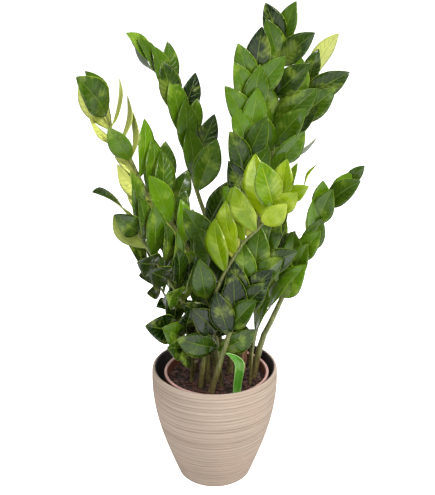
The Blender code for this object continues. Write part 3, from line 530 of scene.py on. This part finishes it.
class Stalk:
    """A smooth line through a frond's points, read by its length."""

    def __init__(self, frond):
        points = [placed(point) for point in frond["stalk"]]
        points = [points[0] * 2 - points[1]] + points + [points[-1] * 2 - points[-2]]
        smooth = []
        for before, start, end, after in zip(points, points[1:], points[2:], points[3:]):
            for step in range(STALK_SAMPLES):
                t = step / STALK_SAMPLES
                smooth.append((start * 2 + (end - before) * t
                               + (before * 2 - start * 5 + end * 4 - after) * t ** 2
                               + (start * 3 - before - end * 3 + after) * t ** 3) / 2)
        self.measure(smooth + [points[-2]])
        steps = round(self.length / STALK_STEP)
        self.measure([self.at(100 * step / steps)[0] for step in range(steps + 1)])
        self.foot_radius, self.tip_radius = (radius / 1000 for radius in frond["radii"])

    def measure(self, line):
        """Take a line of points and note how far along it each one is."""
        self.line = line
        self.far = [0.0]
        for start, end in zip(line, line[1:]):
            self.far.append(self.far[-1] + (end - start).length)
        self.length = self.far[-1]

    def at(self, percent):
        """Point and direction at a percentage of the stalk."""
        far = self.length * percent / 100
        index = max(place for place in range(len(self.line) - 1) if self.far[place] <= far + 1e-9)
        along = (self.line[index + 1] - self.line[index]).normalized()
        return self.line[index] + along * (far - self.far[index]), along

    def radius(self, percent):
        """The stalk tapers steadily, from a swollen foot."""
        swell = FOOT_SWELL * max(0.0, 1 - percent / FOOT_SWELL_PERCENT)
        return (self.foot_radius + (self.tip_radius - self.foot_radius) * percent / 100) * (1 + swell)


def rod(name, path):
    """A round stalk along (point, radius) pairs: a bevelled curve made a mesh, its ends closed."""
    bpy.ops.curve.primitive_nurbs_path_add()
    guide = bpy.context.object
    guide.name = name
    guide.data.splines.clear()
    spline = guide.data.splines.new('POLY')
    spline.points.add(len(path) - 1)
    for control, (point, radius) in zip(spline.points, path):
        control.co = (*point, 1.0)
        control.radius = radius
    guide.data.bevel_depth = 1.0
    guide.data.bevel_resolution = 3
    guide.data.use_fill_caps = True
    bpy.ops.object.select_all(action='DESELECT')
    guide.select_set(True)
    bpy.ops.object.convert(target='MESH')
    piece = bpy.context.object
    bpy.ops.object.mode_set(mode='EDIT')
    bpy.ops.mesh.select_all(action='SELECT')
    bpy.ops.mesh.remove_doubles(threshold=0.00001)
    bpy.ops.mesh.normals_make_consistent(inside=False)
    bpy.ops.object.mode_set(mode='OBJECT')
    bpy.ops.object.shade_smooth_by_angle(angle=math.radians(50))
    return piece


skin = Finish("olive stalk skin", roughness=0.4, coat_weight=0.25, coat_roughness=0.25)
rise = skin.node('ShaderNodeSeparateXYZ', None, {"Vector": skin.place()}, "Z")
mottle = skin.noise(260.0, 4.0, 0.65)
streaks_and_leaf_sheen = skin.noise(1.0, 3.0, 0.6, skin.stretched((420.0, 420.0, 40.0)))
foot_share = 1 - rise.ramp(SOIL_LEVEL + 0.004, SOIL_LEVEL + 0.075)
green = skin.mix(streaks_and_leaf_sheen.ramp(0.35, 0.7), colour(74, 84, 34), colour(128, 132, 66))
green = skin.mix(mottle.ramp(0.55, 0.72) * 0.5, green, colour(54, 60, 28))
brown = skin.mix(mottle.ramp(0.35, 0.65), colour(66, 50, 30), colour(118, 104, 62))
skin.put(base_color=skin.mix(foot_share * 0.85, green, brown), roughness=0.3 + 0.3 * mottle)
skin.bump(streaks_and_leaf_sheen * 0.6 + mottle * 0.4, 0.0005, 0.5)

stalks = {name: Stalk(frond) for name, frond in FRONDS.items()}
percents = [step * 100 / 60 for step in range(61)]
for name, stalk in stalks.items():
    path = [(stalk.at(percent)[0], stalk.radius(percent)) for percent in percents]
    settle(rod(f"{name}_stalk", path), skin, "stalk_skin", f"{name}_petiole", f"{name}_blade")

stub = [(placed(point), radius / 1000) for point, radius in
        [((-30, 22, 150), 5.0), ((-31, 22, 175), 4.7), ((-31, 21, 190), 4.3), ((-31, 21, 191.5), 3.6)]]
settle(rod("cut_stub_skin", stub), skin, "stalk_skin", "cut_stub")


# ---- Leaflets ---------------------------------------------------------------
# Thick, waxed, pointed leaflets, folded a little along a pale midrib. One blank is modelled and
# each leaflet is a bent copy of it, turned where its neighbours leave it room.
LEAFLET_GROWTH = 1.12
LEAFLET_THICKNESS = 0.0009
LEAFLET_FOLD = 0.22
LEAFLET_ARCH = 0.06
LEAFLET_CLEARANCE = 0.0010
LEAFLET_ROOT = 0.003
LEAFLET_TILT = math.radians(12)


def leaflet_place(stalk, frond, side, row):
    """Foot, direction and upper side of a leaflet; side is -1 left, 1 right."""
    percent, spread, length, lift, *twist = row
    spread, lift, twist = math.radians(spread), math.radians(lift), math.radians(sum(twist))
    foot, along = stalk.at(percent)
    faces = Vector(frond["faces"])
    faces = (faces - along * faces.dot(along)).normalized()
    across = along.cross(faces) * side
    outward = across * math.cos(lift) + faces * math.sin(lift)
    reach = along * math.cos(spread) + outward * math.sin(spread)
    upper = faces * math.cos(lift) - across * math.sin(lift)
    upper = upper * math.cos(twist) + reach.cross(upper) * math.sin(twist) * side
    reach, upper = (reach * math.cos(LEAFLET_TILT) + upper * math.sin(LEAFLET_TILT),
                    upper * math.cos(LEAFLET_TILT) - reach * math.sin(LEAFLET_TILT))
    return foot - reach * LEAFLET_ROOT, reach, upper, length / 1000 * LEAFLET_GROWTH * PLANT_SIZE


def outline(share):
    return math.sin(math.pi * share ** 1.1) ** 0.85 if 0.0 < share < 1.0 else 0.0


def stand_in(place, plump, roll=0.0, swell=0.0):
    """A plain lens where the leaflet would be, to see what it would touch."""
    foot, reach, upper, length = place
    upper = (upper * math.cos(roll) + reach.cross(upper) * math.sin(roll)).normalized()
    across = reach.cross(upper)
    shape = bmesh.new()
    bmesh.ops.create_uvsphere(shape, u_segments=4, v_segments=4, radius=1.0)
    half_width = plump * length / 2 + swell
    half_thick = LEAFLET_THICKNESS / 2 + swell
    for vert in shape.verts:
        share = (1 + vert.co.z) / 2
        ring = math.hypot(vert.co.x, vert.co.y)
        sideways, thick = (vert.co.x / ring, vert.co.y / ring) if ring > 1e-6 else (0.0, 0.0)
        width = sideways * half_width * outline(share)
        lift = thick * half_thick * max(outline(share), 0.35 if ring > 1e-6 else 0.0)
        lift += LEAFLET_FOLD * abs(width) + LEAFLET_ARCH * length * 4 * share * (1 - share)
        vert.co = foot + reach * length * share + across * width + upper * lift
    return shape


def box_of(shape):
    xyz = [[vert.co[axis] for vert in shape.verts] for axis in range(3)]
    return [(min(values), max(values)) for values in xyz]


class Crowd:
    """What already stands in the plant, for leaflets that look for room."""

    def __init__(self):
        self.members = []

    def add(self, shape, owner):
        self.members.append((owner, box_of(shape), BVHTree.FromBMesh(shape)))

    def meets(self, shape, owners):
        """How many bodies the shape runs into, of those whose owner is asked for."""
        box = box_of(shape)
        tree = BVHTree.FromBMesh(shape)
        return sum(1 for owner, other_box, other in self.members if owners(owner)
                   and all(a[0] <= b[1] and b[0] <= a[1] for a, b in zip(box, other_box))
                   and tree.overlap(other))


LEANS = sorted(((spread, lift, roll, size)
                for size in (1.0, 0.92, 0.82, 0.70) for roll in (0, 25, -25)
                for spread in (0, -8, 8, -16, 16) for lift in (0, 12, -12, 24, -24, 40, -40)),
               key=lambda lean: abs(lean[0]) + abs(lean[1]) + abs(lean[2]) * 0.6 + (1 - lean[3]) * 150)


def settled(crowd, owner, stalk, frond, side, row):
    """The leaflet's place, roll and stand-in at the first lean that clears every other frond."""
    best = None
    for spread, lift, roll, size in LEANS:
        place = leaflet_place(stalk, frond, side,
                              (row[0], row[1] + spread, row[2] * size, row[3] + lift, *row[4:]))
        guard = stand_in(place, frond["plump"], math.radians(roll), LEAFLET_CLEARANCE)
        if crowd.meets(guard, lambda who: who not in (owner, f"{owner} rachis")):
            continue
        shape = stand_in(place, frond["plump"], math.radians(roll))
        touching = crowd.meets(shape, lambda who: who == owner)
        if best is None or touching < best[0]:
            best = (touching, place, math.radians(roll), shape)
        if touching == 0:
            break
    return best[1:] if best else None


# The blank: a sphere with a pole at each end, flattened to a lens one unit long.
bpy.ops.mesh.primitive_uv_sphere_add(segments=8, ring_count=13, radius=1.0)
blank = bpy.context.object
blank.name = "leaflet_blank"
bpy.ops.object.mode_set(mode='EDIT')
bpy.ops.mesh.select_mode(type='EDGE')
bpy.ops.mesh.select_all(action='DESELECT')
shape = bmesh.from_edit_mesh(blank.data)
for edge in shape.edges:
    edge.select_set(all(abs(vert.co.x) < 1e-5 for vert in edge.verts))
bmesh.update_edit_mesh(blank.data)
bpy.ops.mesh.mark_sharp()
bpy.ops.object.mode_set(mode='OBJECT')
bpy.ops.object.shade_smooth()
spot_on_leaf = blank.data.attributes.new("leaf", 'FLOAT_VECTOR', 'POINT')
blank.data.attributes.new("kind", 'FLOAT_VECTOR', 'POINT')
for index, vert in enumerate(blank.data.vertices):
    ring = math.hypot(vert.co.x, vert.co.y)
    sideways, thick = (vert.co.x / ring, vert.co.y / ring) if ring > 1e-6 else (0.0, 0.0)
    spot_on_leaf.data[index].vector = (sideways, (1 + vert.co.z) / 2, thick)


def leaflet(name, place, plump, roll, lightness, chance):
    """A copy of the blank, bent to its place: folded, arched and a little wavy at its edges."""
    foot, reach, upper, length = place
    upper = (upper * math.cos(roll) + reach.cross(upper) * math.sin(roll)).normalized()
    across = reach.cross(upper)
    piece = bpy.data.objects.new(name, blank.data.copy())
    bpy.context.scene.collection.objects.link(piece)
    phase = chance.random() * math.tau
    curl = chance.uniform(-0.02, 0.05)
    age = (lightness, 0.0, chance.random())
    for vert, on_leaf, mark in zip(piece.data.vertices, piece.data.attributes["leaf"].data,
                                   piece.data.attributes["kind"].data):
        sideways, share, thick = on_leaf.vector
        half = plump * length / 2 * outline(share)
        width = sideways * half
        lift = thick * LEAFLET_THICKNESS / 2 * max(min(half / (plump * length / 2), 1.0), 0.3)
        lift += LEAFLET_FOLD * abs(width) + LEAFLET_ARCH * length * 4 * share * (1 - share)
        lift += 0.0007 * abs(sideways) * math.sin(share * 11 + phase) - curl * length * share ** 4
        vert.co = foot + reach * length * share + across * width + upper * lift
        mark.vector = age
    return piece


def leaf_finish(name, dark, light, under, vein, highlight_and_margin):
    """Waxed leaf: painted highlight streaks, pale midrib, side veins and margin, and a matter, paler
    underside.
    """
    wax = Finish(name, coat_weight=0.12, coat_roughness=0.1, specular_ior_level=0.4)
    on_leaf = wax.node('ShaderNodeAttribute', {"attribute_name": "leaf"}, None, "Vector")
    across = wax.node('ShaderNodeSeparateXYZ', None, {"Vector": on_leaf}, "X")
    along = wax.node('ShaderNodeSeparateXYZ', None, {"Vector": on_leaf}, "Y")
    side = wax.node('ShaderNodeSeparateXYZ', None, {"Vector": on_leaf}, "Z")
    kind = wax.node('ShaderNodeAttribute', {"attribute_name": "kind"}, None, "Vector")
    pale = wax.node('ShaderNodeSeparateXYZ', None, {"Vector": kind}, "X")
    chance = wax.node('ShaderNodeSeparateXYZ', None, {"Vector": kind}, "Z")
    lower = (side * -1.0).ramp(0.02, 0.12)
    off_rib = abs(across)
    rib = 1 - off_rib.ramp(0.015, 0.07)
    ripple = ((along * 62.0) - (off_rib * 13.0) + chance * 3.0).sine()
    veins = ripple.ramp(0.72, 1.0) * off_rib.ramp(0.05, 0.25)
    margin = off_rib.ramp(0.93, 0.985)
    patches = wax.noise(55.0, 3.0)
    # Painted highlight: soft lime-white patches that follow the side veins stand in for the glint on the
    # waxed upper face.
    streaks_and_leaf_sheen = wax.noise(30.0, 3.0).ramp(0.52, 0.66) * (ripple.ramp(-0.6, 0.9) * 0.3 + 0.7)
    upper = wax.mix(patches.ramp(0.3, 0.75) * 0.2 + chance * 0.8 - 0.5 + pale, dark, light)
    upper = wax.mix(streaks_and_leaf_sheen * 0.3, upper, highlight_and_margin)
    upper = wax.mix(veins * 0.10, upper, vein)
    upper = wax.mix(rib * 0.3, upper, vein)
    lower_colour = wax.mix(patches * 0.4 + pale * 0.8 - 0.1, under, colour(226, 230, 124))
    lower_colour = wax.mix(veins * 0.4 + rib * 0.5, lower_colour, colour(112, 132, 58))
    tone = wax.mix(lower, upper, lower_colour)
    tone = wax.mix(margin * 0.5, tone, highlight_and_margin)
    wax.put(base_color=tone, roughness=0.14 + 0.16 * patches + 0.25 * lower)
    wax.bump(0.5 * veins + rib - 0.9 * patches, 0.0007, 0.6)
    return wax


# The last colour of each leaf finish is its painted highlight, which also tints the pale margin.
DARK_LEAF = leaf_finish("glossy leaf", colour(6, 30, 1), colour(86, 126, 4), colour(118, 138, 50),
                        colour(140, 166, 60), colour(174, 198, 76))
YOUNG_LEAF = leaf_finish("young glossy leaf", colour(56, 104, 0), colour(154, 180, 0), colour(190, 204, 24),
                         colour(206, 222, 70), colour(224, 236, 110))
# How light each frond's leaflets are, from the oldest dark ones to the youngest.
LIGHTNESS = {"left_arching": 0.7, "tall_left": 0.4, "tall_right": 0.45, "centre": 0.45, "back_right": 0.6,
             "young": 0.6, "right_arching": 0.6, "front_right": 0.2, "front_left": 0.12, "inner": 0.05,
             "low_side": 0.1, "low_left": 0.2, "low_front": 0.12, "low_right": 0.5, "back_left": 0.25,
             "back_middle": 0.2}

crowd = Crowd()
for name, stalk in stalks.items():
    solid = bmesh.new()
    solid.from_mesh(bpy.data.objects[f"{name}_stalk"].data)
    crowd.add(solid, f"{name} rachis")
    solid.free()
for name, frond in FRONDS.items():
    chance = random.Random(name)
    leaves = []
    for side, rows in ((-1, frond["left"]), (1, frond["right"])):
        for row in rows:
            found = settled(crowd, name, stalks[name], frond, side, row)
            if found is None:
                continue
            place, roll, shape = found
            crowd.add(shape, name)
            leaves.append(leaflet(f"{name}_leaflet_{len(leaves) + 1}", place, frond["plump"], roll,
                                  LIGHTNESS[name], chance))
    bpy.ops.object.select_all(action='DESELECT')
    for leaf in leaves:
        leaf.select_set(True)
    bpy.context.view_layer.objects.active = leaves[0]
    bpy.ops.object.join()
    leaves[0].name = f"{name}_leaflets"
    young = name == "young"
    settle(leaves[0], YOUNG_LEAF if young else DARK_LEAF, "young_leaf" if young else "leaf", f"{name}_blade")
bpy.data.objects.remove(blank, do_unlink=True)


# ---- Strap leaf and dry sheath ----------------------------------------------
# A young leaf still unrolling from the soil, broad as a strap and bent over at its tip, and the
# papery brown sheath that an older frond has left behind.
def strap(name, points, widths, across, cup, thickness):
    """A grid laid along a smooth line, cupped along its middle and thickened."""
    bpy.ops.mesh.primitive_grid_add(x_subdivisions=8, y_subdivisions=28, size=2.0)
    piece = bpy.context.object
    piece.name = name
    line = [placed(point) for point in points]
    line = [line[0] * 2 - line[1]] + line + [line[-1] * 2 - line[-2]]
    across = Vector(across).normalized()
    leaf = piece.data.attributes.new("leaf", 'FLOAT_VECTOR', 'POINT')
    kind = piece.data.attributes.new("kind", 'FLOAT_VECTOR', 'POINT')
    for index, vert in enumerate(piece.data.vertices):
        far = (vert.co.y + 1) / 2 * (len(points) - 1)
        step = min(int(far), len(points) - 2)
        t = far - step
        before, start, end, after = line[step:step + 4]
        middle = (start * 2 + (end - before) * t + (before * 2 - start * 5 + end * 4 - after) * t ** 2
                  + (start * 3 - before - end * 3 + after) * t ** 3) / 2
        along = (end - start).normalized()
        width = widths[step] * (1 - t) + widths[step + 1] * t
        leaf.data[index].vector = (vert.co.x, (vert.co.y + 1) / 2, 1.0)
        kind.data[index].vector = (0.3, 0.0, 0.5)
        dish = across.cross(along) * cup * vert.co.x ** 2 * width / 1000
        vert.co = middle + across * vert.co.x * width / 2000 + dish
    wall = piece.modifiers.new("thickness", 'SOLIDIFY')
    wall.thickness = thickness
    wall.offset = 0.0
    bpy.ops.object.modifier_apply(modifier=wall.name)
    bpy.ops.object.shade_smooth()
    return piece


strap_leaf = strap("unrolling_leaf", [(34, -54, 152), (35, -53, 185), (38, -52, 212), (38, -53, 228),
                                      (30, -56, 240), (18, -58, 247)],
                   [11, 13, 15, 16, 13, 3], (1, 0.3, 0), 0.25, 0.0016)
FRESH_LEAF = leaf_finish("fresh leaf", colour(58, 120, 22), colour(98, 164, 52), colour(120, 168, 70),
                         colour(160, 200, 110), colour(176, 210, 130))
settle(strap_leaf, FRESH_LEAF, "leaf", "strap_leaf")

sheath = strap("papery_sheath", [(44, 12, 165), (46, 9, 180), (48, 8, 205), (53, 6, 236)],
               [7, 9, 8, 2], (1, 0.2, 0), 0.25, 0.0010)
papery = Finish("dry sheath", roughness=0.75)
fibres = papery.noise(1.0, 4.0, 0.6, papery.stretched((700.0, 700.0, 40.0)))
papery.put(base_color=papery.mix(fibres.ramp(0.3, 0.7), colour(120, 76, 52), colour(196, 150, 122)),
           roughness=0.6 + 0.3 * fibres)
papery.bump(fibres, 0.0006, 0.8)
settle(sheath, papery, "dry_sheath", "dry_sheath")


# ---- Rhizomes ---------------------------------------------------------------
# Fleshy, potato-like stems below the soil; dull buff skin with darker blotches.
potato = Finish("rhizome skin", roughness=0.8)
blotch = potato.noise(90.0, 4.0, 0.6)
potato.put(base_color=potato.mix(blotch.ramp(0.35, 0.7), colour(126, 98, 66), colour(174, 148, 108)),
           roughness=0.65 + 0.25 * blotch)
potato.bump(blotch, 0.001, 0.7)
for node in ("rhizome_left", "rhizome_front", "rhizome_back", "rhizome_right"):
    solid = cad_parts[node]
    solid.data.materials.clear()
    solid.data.materials.append(potato.material)


# ---- Soil -------------------------------------------------------------------
# Moist peat with composted bark: a lumpy crumb, strewn with flat dark-brown bark chips that
# catch the light on their broken edges.
SOIL_GAP = 0.0004
SOIL_EDGE_DROP = 0.002
SOIL_CROWN = 0.0025
CHIP_COUNT = 420
SOIL_RADIUS = cone_radius(SOIL_LEVEL) - NEST_WALL - SOIL_GAP
soil_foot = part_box("soil")[0].z
soil_edge = SOIL_LEVEL - SOIL_EDGE_DROP
profile = [(0.0, soil_foot), (0.030, soil_foot), (cone_radius(soil_foot) - NEST_WALL - SOIL_GAP, soil_foot)]
heights = [soil_foot + (soil_edge - soil_foot) * step / 10 for step in range(1, 11)]
profile += [(cone_radius(height) - NEST_WALL - SOIL_GAP, height) for height in heights]
profile += [(SOIL_RADIUS * (1 - step / 40), soil_edge + SOIL_CROWN * math.sin(math.pi / 2 * step / 40))
            for step in range(1, 41)]
soil = turned("root_ball", profile, 120, NEST_CENTRE)
for vert in soil.data.vertices:
    if vert.co.z > SOIL_LEVEL - 0.0025:
        edge = min(1.0, (SOIL_RADIUS - math.hypot(vert.co.x - NEST_CENTRE[0], vert.co.y)) / 0.006)
        lump = 0.0022 * noise.noise(vert.co * 160) + 0.0012 * noise.noise(vert.co * 420)
        vert.co.z += lump * max(edge, 0.0)

peat = Finish("peat and bark crumb", roughness=0.9)
crumb = peat.noise(700.0, 5.0, 0.7)
lumps = peat.noise(140.0, 3.0)
ground = peat.mix(crumb.ramp(0.35, 0.7), colour(20, 12, 9), colour(56, 36, 27))
peat.put(base_color=peat.mix(lumps.ramp(0.4, 0.8) * 0.5, ground, colour(34, 18, 12)),
         roughness=0.75 + 0.2 * crumb)
peat.bump(crumb * 0.6 + lumps * 0.4, 0.002, 1.0)
settle(soil, peat, "bark_soil", "soil")

chance = random.Random("bark chips")
feet = [(stalk.at(8)[0], stalk.radius(8)) for stalk in stalks.values()]
chips = []
while len(chips) < CHIP_COUNT:
    spot = Vector((chance.uniform(-1, 1), chance.uniform(-1, 1))) * SOIL_RADIUS
    size = chance.uniform(0.0018, 0.0048)
    if spot.length > SOIL_RADIUS - size * 1.3:
        continue
    centre = Vector((spot.x + NEST_CENTRE[0], spot.y, SOIL_LEVEL + chance.uniform(-0.0005, 0.0025)))
    if any((centre.xy - foot.xy).length < radius + size * 0.7 for foot, radius in feet):
        continue
    bpy.ops.mesh.primitive_cube_add(size=1.0)
    chip = bpy.context.object
    bpy.ops.object.mode_set(mode='EDIT')
    bpy.ops.mesh.bevel(offset=0.22, offset_pct=0, affect='EDGES')
    bpy.ops.object.mode_set(mode='OBJECT')
    turn = Matrix.Rotation(chance.uniform(0, math.tau), 4, 'Z')
    turn = turn @ Matrix.Rotation(chance.uniform(-0.7, 0.7), 4, 'X')
    shape = Vector((size * chance.uniform(1.4, 2.4), size * chance.uniform(0.9, 1.4),
                    size * chance.uniform(0.35, 0.7)))
    for vert in chip.data.vertices:
        rough = 1 + 0.5 * noise.noise(vert.co * 2 + Vector((len(chips) * 7.3, 0, 0)))
        vert.co = centre + turn @ Vector(vert.co[axis] * shape[axis] * rough for axis in range(3))
    chips.append(chip)
bpy.ops.object.select_all(action='DESELECT')
for chip in chips:
    chip.select_set(True)
bpy.context.view_layer.objects.active = chips[0]
bpy.ops.object.join()
chips[0].name = "bark_chips"
bark = Finish("bark chip", roughness=0.6)
layers = bark.noise(380.0, 4.0, 0.65)
shade = bark.noise(60.0, 2.0)
chip_tone = bark.mix(layers.ramp(0.3, 0.7), colour(30, 14, 9), colour(88, 48, 34))
bark.put(base_color=bark.mix(shade.ramp(0.45, 0.7) * 0.6, chip_tone, colour(34, 18, 14)),
         roughness=0.4 + 0.35 * layers)
bark.bump(layers, 0.001, 0.9)
settle(chips[0], bark, "bark_soil")
